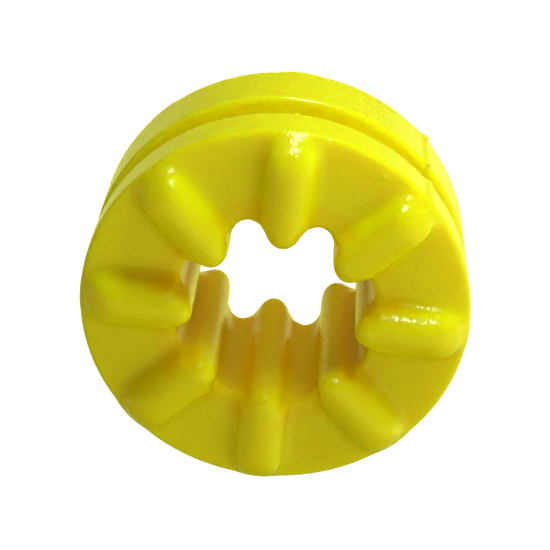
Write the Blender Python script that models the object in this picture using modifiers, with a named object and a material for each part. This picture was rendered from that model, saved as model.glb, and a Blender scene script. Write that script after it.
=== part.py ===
"""Elastic element of a shaft coupling, moulded in one piece from polyurethane.

A thick ring with a square groove round its rim. Its bore has eight rounded
ridges, and each ridge runs on over both faces as a rounded radial rib, so
that the jaws of the two hubs fit between the ribs.

Units are metres. The bore's axis is world Y, the front face looks along -Y
and the ring stands on its rim, so a rib points straight up along +Z. The
shapes are built round the local Z axis and then turned onto world Y.
"""

from math import atan2, cos, pi, radians, sin, sqrt

import bmesh
import bpy
from mathutils import Matrix

# Driving dimensions.
OUTER_RADIUS = 0.0300
BODY_LENGTH = 0.0255
FRONT_FLANGE = 0.0076
GROOVE_WIDTH = 0.0059
GROOVE_DEPTH = 0.0048
GROOVE_FLOOR_RADIUS = 0.0012
RIM_EDGE_RADIUS = 0.0012

JAW_COUNT = 8
RIDGE_TIP_RADIUS = 0.01245
RIDGE_RADIUS = 0.0035
POCKET_RADIUS = 0.01585

RIB_RADIUS = 0.0038
RIB_HEIGHT = 0.0049
RIB_END_RADIUS = 0.0296
RIB_END_LENGTH = 0.0050
RIB_FALL_RADIUS = 0.0083
RIB_FALL_LIFT = 0.0010
RIB_NOSE_RADIUS = 0.0022

# Values that follow from them.
HALF_LENGTH = BODY_LENGTH / 2
FRONT_GROOVE_SIDE = HALF_LENGTH - FRONT_FLANGE
REAR_GROOVE_SIDE = FRONT_GROOVE_SIDE - GROOVE_WIDTH
GROOVE_FLOOR = OUTER_RADIUS - GROOVE_DEPTH
PITCH = 2 * pi / JAW_COUNT
RIDGE_CENTRE = RIDGE_TIP_RADIUS + RIDGE_RADIUS
RIB_AXIS_HEIGHT = HALF_LENGTH + RIB_HEIGHT - RIB_RADIUS
RIB_OVERRUN = 0.0005
RIB_FOOT = 0.0040
CREST_GAP = 0.0001

# Fineness of the faceted solid.
TURN_STEPS = 72
RIDGE_STEPS = 8
POCKET_STEPS = 5
CORNER_STEPS = 3
NOSE_STEPS = 3
RIB_SIDES = 10
RIB_END_STEPS = 5
SHARP_ANGLE = radians(35)

URETHANE_YELLOW = (0.72, 0.66, 0.02, 1.0)
URETHANE_ROUGHNESS = 0.28


def clear_scene():
    for found in list(bpy.data.objects):
        bpy.data.objects.remove(found, do_unlink=True)


def new_collection(name):
    made = bpy.data.collections.new(name)
    bpy.context.scene.collection.children.link(made)
    return made


def urethane():
    made = bpy.data.materials.new("yellow_urethane")
    made.use_nodes = True
    made.diffuse_color = URETHANE_YELLOW
    shader = made.node_tree.nodes["Principled BSDF"]
    shader.inputs["Base Color"].default_value = URETHANE_YELLOW
    shader.inputs["Roughness"].default_value = URETHANE_ROUGHNESS
    shader.inputs["Metallic"].default_value = 0.0
    return made


def arc(centre, radius, start, end, steps):
    """Points on an arc round centre, both ends included. Angles in radians."""
    turn = (end - start) / steps
    return [
        (centre[0] + radius * cos(start + turn * i), centre[1] + radius * sin(start + turn * i))
        for i in range(steps + 1)
    ]


def ring_profile():
    """Outline of the grooved ring as (radius, height), down its outer side."""
    edge = RIM_EDGE_RADIUS
    floor = GROOVE_FLOOR_RADIUS
    rim = OUTER_RADIUS - edge
    bore = RIDGE_TIP_RADIUS - RIB_RADIUS
    points = [(bore, HALF_LENGTH)]
    points += arc((rim, HALF_LENGTH - edge), edge, pi / 2, 0, CORNER_STEPS)
    points += arc((rim, FRONT_GROOVE_SIDE + edge), edge, 0, -pi / 2, CORNER_STEPS)
    inside = GROOVE_FLOOR + floor
    points += arc((inside, FRONT_GROOVE_SIDE - floor), floor, pi / 2, pi, CORNER_STEPS)
    points += arc((inside, REAR_GROOVE_SIDE + floor), floor, pi, 3 * pi / 2, CORNER_STEPS)
    points += arc((rim, REAR_GROOVE_SIDE - edge), edge, pi / 2, 0, CORNER_STEPS)
    points += arc((rim, -HALF_LENGTH + edge), edge, 0, -pi / 2, CORNER_STEPS)
    points += [(bore, -HALF_LENGTH)]
    return points


def envelope_profile():
    """Outline that holds every rib end: round at the bore's mouth, both faces."""
    nose = RIB_NOSE_RADIUS
    top = HALF_LENGTH + RIB_HEIGHT + CREST_GAP
    outside = OUTER_RADIUS + RIB_RADIUS
    high = top + RIB_RADIUS
    tip = RIDGE_TIP_RADIUS
    points = [(tip + nose, high), (outside, high), (outside, -high), (tip + nose, -high)]
    points += arc((tip + nose, -top + nose), nose, -pi / 2, -pi, NOSE_STEPS)
    points += arc((tip + nose, top - nose), nose, pi, pi / 2, NOSE_STEPS)
    return points


def turned(name, profile, collection):
    """A closed profile of (radius, height) points turned round local Z."""
    mesh = bpy.data.meshes.new(name)
    verts = [(radius, 0.0, height) for radius, height in profile]
    edges = [(i, (i + 1) % len(verts)) for i in range(len(verts))]
    mesh.from_pydata(verts, edges, [])
    made = bpy.data.objects.new(name, mesh)
    collection.objects.link(made)
    screw = made.modifiers.new("Turn", "SCREW")
    screw.axis = "Z"
    screw.steps = TURN_STEPS
    screw.render_steps = TURN_STEPS
    screw.use_merge_vertices = True
    screw.merge_threshold = 0.00001
    return made


def pocket_circle():
    """(radius, distance from the axis) of the pocket arc that touches two ridges."""
    along = RIDGE_CENTRE * cos(PITCH / 2)
    ridge_reach = POCKET_RADIUS**2 + RIDGE_CENTRE**2 - 2 * POCKET_RADIUS * along
    radius = (ridge_reach - RIDGE_RADIUS**2) / (2 * (RIDGE_RADIUS + POCKET_RADIUS - along))
    return radius, POCKET_RADIUS - radius


def bore_outline():
    """The bore's wave: ridge arcs that bulge inwards, joined by round pockets."""
    half = PITCH / 2
    pocket, distance = pocket_circle()
    # Direction from a ridge's centre to the next pocket's, from the outward radius.
    lean = atan2(distance * sin(half), distance * cos(half) - RIDGE_CENTRE)
    spread = pi - lean + half
    outline = []
    for k in range(JAW_COUNT):
        middle = k * PITCH
        ridge = (RIDGE_CENTRE * cos(middle), RIDGE_CENTRE * sin(middle))
        outline += arc(ridge, RIDGE_RADIUS, middle + 2 * pi - lean, middle + lean, RIDGE_STEPS)[:-1]
        between = middle + half
        hollow = (distance * cos(between), distance * sin(between))
        outline += arc(hollow, pocket, between - spread, between + spread, POCKET_STEPS)[:-1]
    return outline


def prism(name, outline, half_height, collection):
    """A closed outline in the local XY plane as a solid, centred on Z = 0."""
    mesh = bpy.data.meshes.new(name)
    work = bmesh.new()
    floor = work.faces.new([work.verts.new((x, y, -half_height)) for x, y in outline])
    lifted = bmesh.ops.extrude_face_region(work, geom=[floor])["geom"]
    moved = [item for item in lifted if isinstance(item, bmesh.types.BMVert)]
    bmesh.ops.translate(work, verts=moved, vec=(0, 0, 2 * half_height))
    bmesh.ops.recalc_face_normals(work, faces=work.faces)
    work.to_mesh(mesh)
    work.free()
    made = bpy.data.objects.new(name, mesh)
    collection.objects.link(made)
    return made


def rib_stations():
    """(distance from the axis, half width, crest height) along a rib.

    Towards the rim a rib closes to a round end and its crest falls off.
    """
    stations = [(RIDGE_TIP_RADIUS - RIB_OVERRUN, RIB_RADIUS, RIB_RADIUS)]
    fall_centre = OUTER_RADIUS - RIB_FALL_RADIUS
    for i in range(RIB_END_STEPS + 1):
        turn = pi / 2 * i / RIB_END_STEPS
        distance = RIB_END_RADIUS - RIB_END_LENGTH * (1 - sin(turn))
        half_width = RIB_RADIUS * cos(turn)
        arch = sqrt(RIB_FALL_RADIUS**2 - max(distance - fall_centre, 0.0) ** 2)
        crest = RIB_RADIUS + RIB_FALL_LIFT - RIB_FALL_RADIUS + arch
        stations.append((distance, half_width, min(half_width, crest)))
    return stations


def rib_bar(name, angle, side, collection):
    """A bar across one face, round on top and straight-sided below its middle."""
    mesh = bpy.data.meshes.new(name)
    work = bmesh.new()
    for distance, half_width, crest in rib_stations():
        rise = max(crest, 0.0)
        section = [
            (half_width * cos(pi * i / RIB_SIDES), crest - rise + rise * sin(pi * i / RIB_SIDES))
            for i in range(RIB_SIDES + 1)
        ]
        for across, up in [(-half_width, -RIB_FOOT), *section, (half_width, -RIB_FOOT)]:
            work.verts.new((distance, across, side * up))
    bmesh.ops.remove_doubles(work, verts=work.verts, dist=RIB_OVERRUN / 100)
    bmesh.ops.convex_hull(work, input=work.verts)
    bmesh.ops.recalc_face_normals(work, faces=work.faces)
    work.to_mesh(mesh)
    work.free()
    made = bpy.data.objects.new(name, mesh)
    place = Matrix.Translation((0, 0, side * RIB_AXIS_HEIGHT))
    mesh.transform(Matrix.Rotation(angle, 4, "Z") @ place)
    collection.objects.link(made)
    return made


def boolean(target, other, operation):
    step = target.modifiers.new(operation.title() + "_" + other.name, "BOOLEAN")
    step.operation = operation
    step.solver = "EXACT"
    step.object = other


def hide_helper(helper):
    helper.hide_render = True
    helper.display_type = "WIRE"


def shade_round(target):
    """Keeps the joined shape as the mesh itself, and shades its round faces smooth."""
    graph = bpy.context.evaluated_depsgraph_get()
    joined = bpy.data.meshes.new_from_object(target.evaluated_get(graph))
    target.modifiers.clear()
    target.data = joined
    joined.shade_smooth()
    joined.set_sharp_from_angle(angle=SHARP_ANGLE)


def flexible_element(parts, helpers):
    """The moulding: ring and ribs joined, noses rounded, then the bore cut."""
    element = turned("flexible_element", ring_profile(), parts)
    for side, face in ((1, "front"), (-1, "rear")):
        for k in range(JAW_COUNT):
            bar = rib_bar(f"rib_{face}_{k + 1}", k * PITCH, side, helpers)
            boolean(element, bar, "UNION")
            hide_helper(bar)
    envelope = turned("rib_envelope", envelope_profile(), helpers)
    boolean(element, envelope, "INTERSECT")
    hide_helper(envelope)
    tall = HALF_LENGTH + 3 * RIB_HEIGHT
    bore = prism("bore_cutter", bore_outline(), tall, helpers)
    boolean(element, bore, "DIFFERENCE")
    hide_helper(bore)
    return element


def stand_on_rim(objects):
    """Turns the local Z axis onto world -Y, so the ring stands on its rim."""
    for found in objects:
        found.rotation_euler = (pi / 2, 0.0, 0.0)


def main():
    clear_scene()
    parts = new_collection("coupling_element")
    helpers = new_collection("helpers")
    element = flexible_element(parts, helpers)
    shade_round(element)
    element.data.materials.clear()
    element.data.materials.append(urethane())
    stand_on_rim([element, *helpers.objects])


main()
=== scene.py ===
"""Looks for the flexible element of a shaft coupling: one glossy yellow polyurethane moulding.

The moulding is worked out as a signed distance in millimetres, in local axes:
u to the right, v up and w out of the front face along the bore's axis. Its
surface is taken off a fine grid, moved exactly onto zero distance and then
placed in the CAD frame, where the front face looks along -Y and +Z is up.
"""

from math import cos, pi, radians, sin

import bmesh
import bpy
import numpy as np
from mathutils import Matrix, Vector


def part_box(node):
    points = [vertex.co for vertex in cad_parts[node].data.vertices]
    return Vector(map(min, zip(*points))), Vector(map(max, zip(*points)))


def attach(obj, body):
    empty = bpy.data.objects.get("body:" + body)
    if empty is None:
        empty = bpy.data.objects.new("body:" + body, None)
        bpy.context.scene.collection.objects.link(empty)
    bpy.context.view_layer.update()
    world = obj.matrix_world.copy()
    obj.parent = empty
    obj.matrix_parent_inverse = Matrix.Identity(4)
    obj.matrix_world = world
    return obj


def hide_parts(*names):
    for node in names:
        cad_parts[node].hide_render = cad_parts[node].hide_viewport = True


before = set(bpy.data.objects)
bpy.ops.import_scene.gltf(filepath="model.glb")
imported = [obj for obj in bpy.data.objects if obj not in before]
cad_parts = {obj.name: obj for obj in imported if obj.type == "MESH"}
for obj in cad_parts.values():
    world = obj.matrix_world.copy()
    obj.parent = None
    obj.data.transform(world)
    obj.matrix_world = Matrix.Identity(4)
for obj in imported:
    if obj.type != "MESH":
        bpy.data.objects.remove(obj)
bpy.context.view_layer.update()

# ---------------------------------------------------------------- dimensions, mm
MM = 0.001
LOWEST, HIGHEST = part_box("flexible_element")
R = (HIGHEST.x - LOWEST.x) / 2 / MM
CREST = (HIGHEST.y - LOWEST.y) / 2 / MM

RIB_HEIGHT = 4.9
HALF = CREST - RIB_HEIGHT
FRONT_FLANGE = 7.6
GROOVE_WIDTH = 5.9
GROOVE_DEPTH = 4.8
GROOVE_FLOOR_ROUND = 1.2
RIM_ROUND = 0.8
FACE_ROUND = 1.0
JAWS = 8
RIDGE_TIP = 12.45
RIDGE_ROUND = 3.5
POCKET_TOP = 15.85
RIB_ROUND = 3.8
RIB_FOOT = 4.0
RIB_END = 29.6
RIB_END_LENGTH = 5.0
RIB_FALL_ROUND = 8.3
RIB_FALL_START = 1.0
RIB_EDGE_ROUND = 1.2
NOSE_ROUND = 2.2
NOSE_FROM, NOSE_TO = 2.6, 4.4
FILLET = 2.0

# Marks left by the mould: a raised band that rises slowly and drops sharply, and pips.
PARTING_ANGLE = pi / 4
PARTING_RAISE = 0.36
PARTING_EASE = 1.5
PARTING_TOP = -0.1
PARTING_EDGE = 0.55
PARTING_DROP = 0.2
PARTING_DEPTH = 3.0
PARTING_FULL = 0.5
PIP_FADE_FROM, PIP_FADE_TO = 0.6, 1.4
FACE_PIP_AT = 28.1
FACE_PIP_ANGLE = radians(29)

# The mesh: size of a grid cell, and cuts per edge and width of the finer band on the parting line.
CELL = 0.49
FINE_CUTS = 3
FINE_BAND = 1.9


# ---------------------------------------------------------------- the moulding as a distance
def round_inner(a, b, k):
    """Where both a and b are inside, with their shared edge rounded to radius k."""
    return np.minimum(-k, np.maximum(a, b)) + np.hypot(np.maximum(a + k, 0), np.maximum(b + k, 0))


def round_outer(a, b, k):
    """Where a or b is inside, with a fillet of radius k between them."""
    return np.maximum(k, np.minimum(a, b)) - np.hypot(np.maximum(k - a, 0), np.maximum(k - b, 0))


def smoothstep(x, low, high):
    """0 below low, 1 above high and a smooth rise between them."""
    t = np.clip((x - low) / (high - low), 0, 1)
    return t * t * (3 - 2 * t)


def ring(r, w):
    """The plain grooved ring, without its bore."""
    out, up = r - (R - RIM_ROUND), np.abs(w) - (HALF - RIM_ROUND)
    body = np.hypot(np.maximum(out, 0), np.maximum(up, 0)) + np.minimum(np.maximum(out, up), 0)
    body = body - RIM_ROUND
    middle = HALF - FRONT_FLANGE - GROOVE_WIDTH / 2
    deep = R - GROOVE_DEPTH + GROOVE_FLOOR_ROUND - r
    wide = np.abs(w - middle) - (GROOVE_WIDTH / 2 - GROOVE_FLOOR_ROUND)
    groove = np.hypot(np.maximum(deep, 0), np.maximum(wide, 0))
    groove = groove + np.minimum(np.maximum(deep, wide), 0) - GROOVE_FLOOR_ROUND
    return round_inner(body, -groove, RIM_ROUND)


def bore(a, q):
    """Distance into the lobed bore, from a along the nearest rib and q across it."""
    half = pi / JAWS
    ridge = RIDGE_TIP + RIDGE_ROUND
    along = ridge * cos(half)
    reach = POCKET_TOP**2 + ridge**2 - 2 * POCKET_TOP * along
    pocket = (reach - RIDGE_ROUND**2) / (2 * (RIDGE_ROUND + POCKET_TOP - along))
    px, pq = (POCKET_TOP - pocket) * cos(half), (POCKET_TOP - pocket) * sin(half)
    side = (px - ridge) * q - pq * (a - ridge)
    near = np.hypot(a - ridge, q) - RIDGE_ROUND
    far = pocket - np.hypot(a - px, q - pq)
    return np.where(side > 0, near, far)


def moulding(p):
    """Distance to the clean moulding, its eight sectors folded into one."""
    u, v, w = p[..., 0], p[..., 1], p[..., 2]
    r = np.hypot(u, v)
    pitch = 2 * pi / JAWS
    turn = np.arctan2(u, v)
    fold = np.mod(turn + pitch / 2, pitch) - pitch / 2
    a, q = r * np.cos(fold), np.abs(r * np.sin(fold))
    high = np.abs(w) - (CREST - RIB_ROUND)
    past = np.maximum(a - (RIB_END - RIB_END_LENGTH), 0) * RIB_ROUND / RIB_END_LENGTH
    bar = np.sqrt(q * q + np.maximum(high, 0) ** 2 + past * past) - RIB_ROUND
    fall = round_inner(high - RIB_ROUND - RIB_FALL_START, a - R, RIB_FALL_ROUND)
    rib = np.maximum(round_inner(bar, fall, RIB_EDGE_ROUND), -high - RIB_FOOT)
    solid = np.maximum(round_outer(ring(r, w), rib, FILLET), r - R)
    on_rib = 1 - smoothstep(q, NOSE_FROM, NOSE_TO)
    edge = FACE_ROUND + (NOSE_ROUND - FACE_ROUND) * on_rib
    return round_inner(solid, bore(a, q), edge)


def on_radius(radius, angle, w):
    """Local position at a radius, at an angle clockwise from the top."""
    return np.array([radius * sin(angle), radius * cos(angle), w])


FLANGE_BACK = HALF - FRONT_FLANGE
REAR_FLANGE = FLANGE_BACK - GROOVE_WIDTH
OUT_OF_FACE = np.array([0.0, 0.0, 1.0])
# Small pips: where each sits, which way it points, its height and its spread.
PIPS = [
    (on_radius(R, 0.004, FLANGE_BACK + 0.3), on_radius(1, 0, 0), 0.42, 0.30),
    (on_radius(FACE_PIP_AT, FACE_PIP_ANGLE, HALF), OUT_OF_FACE, 0.28, 0.50),
    (on_radius(R, PARTING_ANGLE - 0.014, REAR_FLANGE), on_radius(1, PARTING_ANGLE, 0), 0.25, 0.25),
    (on_radius(R, PARTING_ANGLE + 0.010, REAR_FLANGE), on_radius(1, PARTING_ANGLE, 0), 0.30, 0.25),
    (on_radius(R, PARTING_ANGLE - 0.004, 0.6 - HALF), on_radius(1, PARTING_ANGLE, 0), 0.25, 0.30),
]


def parting_offset(p):
    """How far a position lies clockwise of the parting plane, seen from the front."""
    return p[..., 0] * cos(PARTING_ANGLE) - p[..., 1] * sin(PARTING_ANGLE)


def marked(p):
    """The moulding with the mould's parting step on both flanges, and its pips."""
    solid = moulding(p)
    r, aside = np.hypot(p[..., 0], p[..., 1]), parting_offset(p)
    rise = smoothstep(aside, -PARTING_EASE, PARTING_TOP)
    step = rise * (1 - smoothstep(aside, PARTING_EDGE - PARTING_DROP, PARTING_EDGE))
    raised = PARTING_RAISE * step * smoothstep(r, R - PARTING_DEPTH, R - PARTING_FULL)
    solid = solid - np.where(p[..., 0] > 0, raised, 0)
    for centre, way, height, spread in PIPS:
        offset = p - centre
        along = offset @ way
        across = (offset**2).sum(-1) - along**2
        fade = 1 - smoothstep(np.abs(along), PIP_FADE_FROM, PIP_FADE_TO)
        solid = solid - height * fade * np.exp(-across / spread**2)
    return solid


def near_marks(p):
    """Where the mesh needs finer faces to hold the marks."""
    r = np.hypot(p[..., 0], p[..., 1])
    near = (r > R - PARTING_DEPTH) & (np.abs(parting_offset(p)) < FINE_BAND) & (p[..., 0] > 0)
    for centre, _, _, spread in PIPS:
        near |= np.linalg.norm(p - centre, axis=-1) < 2 * spread + 0.5
    return near


# ---------------------------------------------------------------- its surface as a mesh
def surface(distance, reach, cell):
    """(vertices, quads) of distance = 0 within +-reach, one vertex per crossed cell."""
    axes = [np.arange(-n, n + 1) * cell for n in (int(top / cell) + 2 for top in reach)]
    grid = np.stack(np.meshgrid(*axes, indexing="ij"), -1)
    value = np.empty(grid.shape[:3])
    for i in range(len(axes[0])):
        value[i] = distance(grid[i])
    inside = value < 0
    shape = np.array(value.shape) - 1
    corner = {}
    for key in np.ndindex(2, 2, 2):
        corner[key] = tuple(slice(k, k + n) for k, n in zip(key, shape))
    total = sum(inside[c].astype(np.int8) for c in corner.values())
    active = (total > 0) & (total < 8)
    cells = np.argwhere(active)
    index = np.full(active.shape, -1)
    index[active] = np.arange(len(cells))
    low = np.stack([axes[k][cells[:, k]] for k in range(3)], -1)
    summed, crossings = np.zeros((len(cells), 3)), np.zeros(len(cells))
    for key, where in corner.items():
        for axis in range(3):
            if key[axis]:
                continue
            other = list(key)
            other[axis] = 1
            start, end = value[where][active], value[corner[tuple(other)]][active]
            hit = (start < 0) != (end < 0)
            share = np.where(hit, start / np.where(hit, start - end, 1), 0)
            at = np.array(key, float)[None, :].repeat(len(cells), 0)
            at[:, axis] = share
            summed += np.where(hit[:, None], at, 0)
            crossings += hit
    points = low + cell * summed / crossings[:, None]
    quads = []
    for axis in range(3):
        one, two = (axis + 1) % 3, (axis + 2) % 3
        first = [slice(1, -1)] * 3
        first[axis] = slice(0, -1)
        second = list(first)
        second[axis] = slice(1, None)
        start, end = inside[tuple(first)], inside[tuple(second)]
        at = np.argwhere(start != end)
        at[:, one] += 1
        at[:, two] += 1
        outward = start[start != end]
        four = []
        for step_one, step_two in ((0, 0), (-1, 0), (-1, -1), (0, -1)):
            cell_at = at.copy()
            cell_at[:, one] += step_one
            cell_at[:, two] += step_two
            four.append(index[tuple(cell_at.T)])
        four = np.stack(four, -1)
        quads.append(np.where(outward[:, None], four, four[:, ::-1]))
    return points, np.concatenate(quads)


def slope(distance, points, step=0.02):
    """Gradient of the distance, by central differences."""
    out = np.empty_like(points)
    for axis in range(3):
        move = np.zeros(3)
        move[axis] = step
        out[:, axis] = (distance(points + move) - distance(points - move)) / (2 * step)
    return out


def settle(distance, points, rounds=8, furthest=0.3, flattest=0.25):
    """Moves points onto distance = 0 and returns them with their outward normals."""
    for _ in range(rounds):
        grad = slope(distance, points)
        size = np.maximum((grad * grad).sum(1), flattest)
        move = np.clip(distance(points) / size, -furthest, furthest)
        points = points - move[:, None] * grad
    grad = slope(distance, points)
    return points, grad / np.linalg.norm(grad, axis=1)[:, None]


def to_frame(local):
    """Local (u, v, w) to the frame's (X, Y, Z)."""
    return np.stack([local[:, 0], -local[:, 2], local[:, 1]], -1)


def refined(points, quads, wanted, cuts):
    """The mesh with every face whose middle is wanted cut into smaller ones."""
    mesh = bpy.data.meshes.new("work")
    mesh.from_pydata(points.tolist(), [], quads.tolist())
    work = bmesh.new()
    work.from_mesh(mesh)
    bpy.data.meshes.remove(mesh)
    middles = np.array([tuple(face.calc_center_median()) for face in work.faces])
    chosen = [face for face, take in zip(list(work.faces), wanted(middles)) if take]
    edges = list({edge for face in chosen for edge in face.edges})
    bmesh.ops.subdivide_edges(work, edges=edges, cuts=cuts, use_grid_fill=True)
    return work


def mesh_piece(name, plain_distance, distance, reach, cell):
    """An object meshed from the plain distance, then settled onto the marked one."""
    points, quads = surface(plain_distance, reach, cell)
    points, _ = settle(plain_distance, points)
    work = refined(points, quads, near_marks, FINE_CUTS)
    points, normals = settle(distance, np.array([tuple(vertex.co) for vertex in work.verts]))
    points, normals = to_frame(points) * MM, to_frame(normals)
    mesh = bpy.data.meshes.new(name)
    work.to_mesh(mesh)
    work.free()
    mesh.vertices.foreach_set("co", points.ravel())
    mesh.validate()
    mesh.update()
    mesh.shade_smooth()
    mesh.normals_split_custom_set_from_vertices(normals.tolist())
    made = bpy.data.objects.new(name, mesh)
    bpy.context.scene.collection.objects.link(made)
    return made


# ---------------------------------------------------------------- materials
LEMON = (0.86, 0.76, 0.004, 1)
# Painted shade: this amber stands in for the shade and yellow interreflection in sheltered places
# near the bore.
PAINTED_SHADE_AMBER = (0.90, 0.56, 0.001, 1)
PAINTED_SHADE_WITHIN = 16.5
LEMON_BEYOND = 20.0
PAINTED_SHADE_REACH = 0.012
CLOUD_SCALE = 90
CLOUD_DEEPEST = 0.94
GRAIN_SCALE = 1900
ORANGE_PEEL_SCALE = 420
BUMP_DEPTH = 0.00008
SMOOTHEST, ROUGHEST = 0.09, 0.16
SCATTER_RADIUS = (1.0, 0.55, 0.03)
SCATTER_SCALE = 0.005

FLOOR_GREY = (0.3, 0.3, 0.3, 1)
FLOOR_GLOW = 0.98


def feed(tree, made, inputs):
    """Sets a node's inputs to values, or links them to the sockets given."""
    for key, value in inputs.items():
        if isinstance(value, bpy.types.NodeSocket):
            tree.links.new(value, made.inputs[key])
        else:
            made.inputs[key].default_value = value


def node(tree, kind, inputs=None, **settings):
    made = tree.nodes.new(kind)
    for key, value in settings.items():
        setattr(made, key, value)
    feed(tree, made, inputs or {})
    return made


def map_range(tree, value, start, end, low=0.0, high=1.0):
    """The value taken from start..end to low..high, and held within them."""
    inputs = {"Value": value, "From Min": start, "From Max": end, "To Min": low, "To Max": high}
    return node(tree, "ShaderNodeMapRange", inputs).outputs["Result"]


def combine(tree, operation, one, other):
    made = node(tree, "ShaderNodeMath", {0: one, 1: other}, operation=operation)
    return made.outputs["Value"]


def noise(tree, place, scale, detail):
    inputs = {"Vector": place, "Scale": scale, "Detail": detail}
    return node(tree, "ShaderNodeTexNoise", inputs).outputs["Fac"]


def urethane_color_and_painted_shade(tree, place):
    """Painted shade: amber where ambient occlusion finds the surface sheltered near the bore,
    lemon outside.
    """
    open_air = node(tree, "ShaderNodeAmbientOcclusion", {"Distance": PAINTED_SHADE_REACH}, samples=8)
    # Painted shade: the less open the surface near the bore, the more amber it is painted.
    unoccluded = map_range(tree, open_air.outputs["AO"], 0.25, 0.95)
    patch = map_range(tree, noise(tree, place, CLOUD_SCALE, 3), 0.3, 0.7, CLOUD_DEEPEST, 1.0)
    across = node(tree, "ShaderNodeVectorMath", {0: place, 1: (1, 0, 1)}, operation="MULTIPLY")
    radius = node(tree, "ShaderNodeVectorMath", {0: across.outputs[0]}, operation="LENGTH")
    outside = map_range(tree, radius.outputs["Value"], PAINTED_SHADE_WITHIN * MM, LEMON_BEYOND * MM)
    lemon_share = combine(tree, "MAXIMUM", combine(tree, "MULTIPLY", unoccluded, patch), outside)
    inputs = {"Factor": lemon_share, "A": PAINTED_SHADE_AMBER, "B": LEMON}
    return node(tree, "ShaderNodeMix", inputs, data_type="RGBA").outputs["Result"]


def urethane():
    """Glossy, slightly translucent moulded polyurethane with a fine grain and painted shade near
    the bore.
    """
    made = bpy.data.materials.new("yellow_urethane")
    made.use_nodes = True
    tree = made.node_tree
    place = node(tree, "ShaderNodeTexCoord").outputs["Object"]
    orange_peel = noise(tree, place, ORANGE_PEEL_SCALE, 0)
    heights = combine(tree, "ADD", noise(tree, place, GRAIN_SCALE, 0), orange_peel)
    relief = {"Height": heights, "Strength": 1.0, "Distance": BUMP_DEPTH}
    inputs = {
        "Base Color": urethane_color_and_painted_shade(tree, place),
        "Normal": node(tree, "ShaderNodeBump", relief).outputs["Normal"],
        "Roughness": map_range(tree, orange_peel, 0.0, 1.0, SMOOTHEST, ROUGHEST),
        "IOR": 1.5,
        "Specular IOR Level": 0.5,
        "Specular Tint": (1.0, 1.0, 0.8, 1),
        "Subsurface Weight": 1.0,
        "Subsurface Radius": SCATTER_RADIUS,
        "Subsurface Scale": SCATTER_SCALE,
    }
    feed(tree, tree.nodes["Principled BSDF"], inputs)
    return made


def pale_floor():
    """Matt, and glowing enough to look white."""
    made = bpy.data.materials.new("pale_floor")
    made.use_nodes = True
    inputs = {
        "Base Color": FLOOR_GREY,
        "Roughness": 0.9,
        "Specular IOR Level": 0.1,
        "Emission Color": (1, 1, 1, 1),
        "Emission Strength": FLOOR_GLOW,
    }
    feed(made.node_tree, made.node_tree.nodes["Principled BSDF"], inputs)
    return made


# ---------------------------------------------------------------- the piece
element = mesh_piece("polyurethane_element", moulding, marked, (R, R, CREST), CELL)
element.data.materials.append(urethane())
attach(element, "root")
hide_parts("flexible_element")

# ---------------------------------------------------------------- floor
FLOOR_REACH = 3.0

floor_mesh = bpy.data.meshes.new("floor")
corners = [(x * FLOOR_REACH, y * FLOOR_REACH, 0) for x, y in ((-1, -1), (1, -1), (1, 1), (-1, 1))]
floor_mesh.from_pydata(corners, [], [(0, 1, 2, 3)])
floor_mesh.materials.append(pale_floor())
floor = bpy.data.objects.new("floor", floor_mesh)
floor.location.z = LOWEST.z
floor.visible_diffuse = False
floor.visible_glossy = False
bpy.context.scene.collection.objects.link(floor)

# ---------------------------------------------------------------- lights
# The studio's glow from below to above, as (height of the direction, colour).
GLOW = [
    (-1.0, (0.03, 0.03, 0.01, 1)),
    (-0.80, (0.30, 0.34, 0.08, 1)),
    (-0.40, (0.96, 1.04, 0.20, 1)),
    (-0.05, (0.84, 0.91, 0.30, 1)),
    (0.2, (0.12, 0.08, 0.05, 1)),
]
GLOW_TO_RIGHT = 0.5

world = bpy.data.worlds.new("studio")
bpy.context.scene.world = world
world.use_nodes = True
air = world.node_tree
around = node(air, "ShaderNodeTexCoord").outputs["Generated"]
toward = node(air, "ShaderNodeSeparateXYZ", {"Vector": around}).outputs
glow = node(air, "ShaderNodeValToRGB", {"Fac": map_range(air, toward["Z"], -1.0, 1.0)})
stops = glow.color_ramp.elements
while len(stops) < len(GLOW):
    stops.new(0.5)
for stop, (level, color) in zip(stops, GLOW):
    stop.position, stop.color = (level + 1) / 2, color
strength = map_range(air, toward["X"], -1.0, 1.0, 1 - GLOW_TO_RIGHT, 1 + GLOW_TO_RIGHT)
feed(air, air.nodes["Background"], {"Color": glow.outputs["Color"], "Strength": strength})


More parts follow.
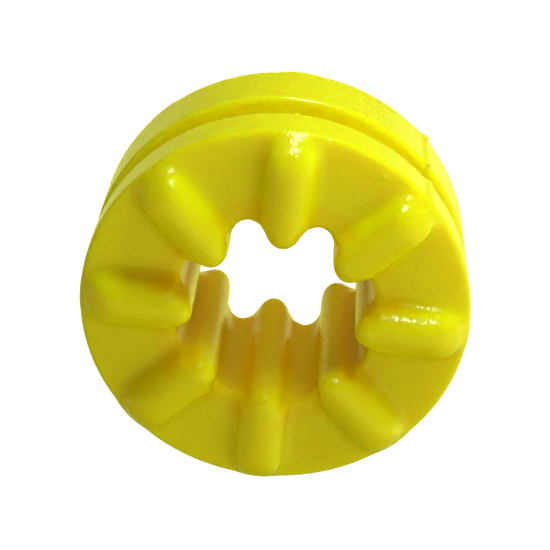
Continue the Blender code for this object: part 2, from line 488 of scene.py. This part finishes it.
def direction(azimuth, elevation):
    """Unit vector away from the origin, in degrees: azimuth 0 in front, 90 to the right."""
    az, el = radians(azimuth), radians(elevation)
    return Vector((sin(az) * cos(el), -cos(az) * cos(el), sin(el)))


def softbox(name, way, distance, size, power, color, in_gloss=False):
    """An area light that faces the origin. Only one in the gloss is seen reflected."""
    light = bpy.data.lights.new(name, "AREA")
    light.shape = "RECTANGLE"
    light.size, light.size_y = size
    light.energy = power
    light.color = color
    made = bpy.data.objects.new(name, light)
    made.location = way * distance
    made.rotation_euler = way.to_track_quat("Z", "Y").to_euler()
    made.visible_glossy = in_gloss
    bpy.context.scene.collection.objects.link(made)


softbox("key_softbox", direction(26, 80), 0.16, (0.03, 0.07), 0.12, (0.66, 1, 0.85), in_gloss=True)
softbox("side_softbox", direction(80, 45), 0.16, (0.13, 0.13), 0.14, (0.82, 1, 0.8))
softbox("front_softbox", direction(0, 30), 0.60, (0.25, 0.25), 0.30, (1, 0.6, 0.4))
softbox("back_softbox", direction(180, 38), 0.50, (0.30, 0.30), 0.85, (1, 0.90, 0.6))

# ---------------------------------------------------------------- camera
CAMERA_ELEVATION = 26.8
CAMERA_AZIMUTH = -0.2
CAMERA_ROLL = 6.4
CAMERA_DISTANCE = 0.268
LENS = 109.7
SENSOR = 36.0
SHIFT_X = -0.0058
SHIFT_Y = 0.0012
CLIP_START, CLIP_END = 0.01, 20

camera_data = bpy.data.cameras.new("camera")
camera_data.lens = LENS
camera_data.sensor_width = SENSOR
camera_data.clip_start, camera_data.clip_end = CLIP_START, CLIP_END
camera_data.shift_x, camera_data.shift_y = SHIFT_X, SHIFT_Y
camera = bpy.data.objects.new("camera", camera_data)
back = direction(CAMERA_AZIMUTH, CAMERA_ELEVATION)
roll = Matrix.Rotation(radians(CAMERA_ROLL), 3, "Z")
turn = back.to_track_quat("Z", "Y").to_matrix() @ roll
camera.matrix_world = Matrix.Translation(back * CAMERA_DISTANCE) @ turn.to_4x4()
bpy.context.scene.collection.objects.link(camera)
bpy.context.scene.camera = camera
bpy.context.scene.view_settings.view_transform = "Standard"
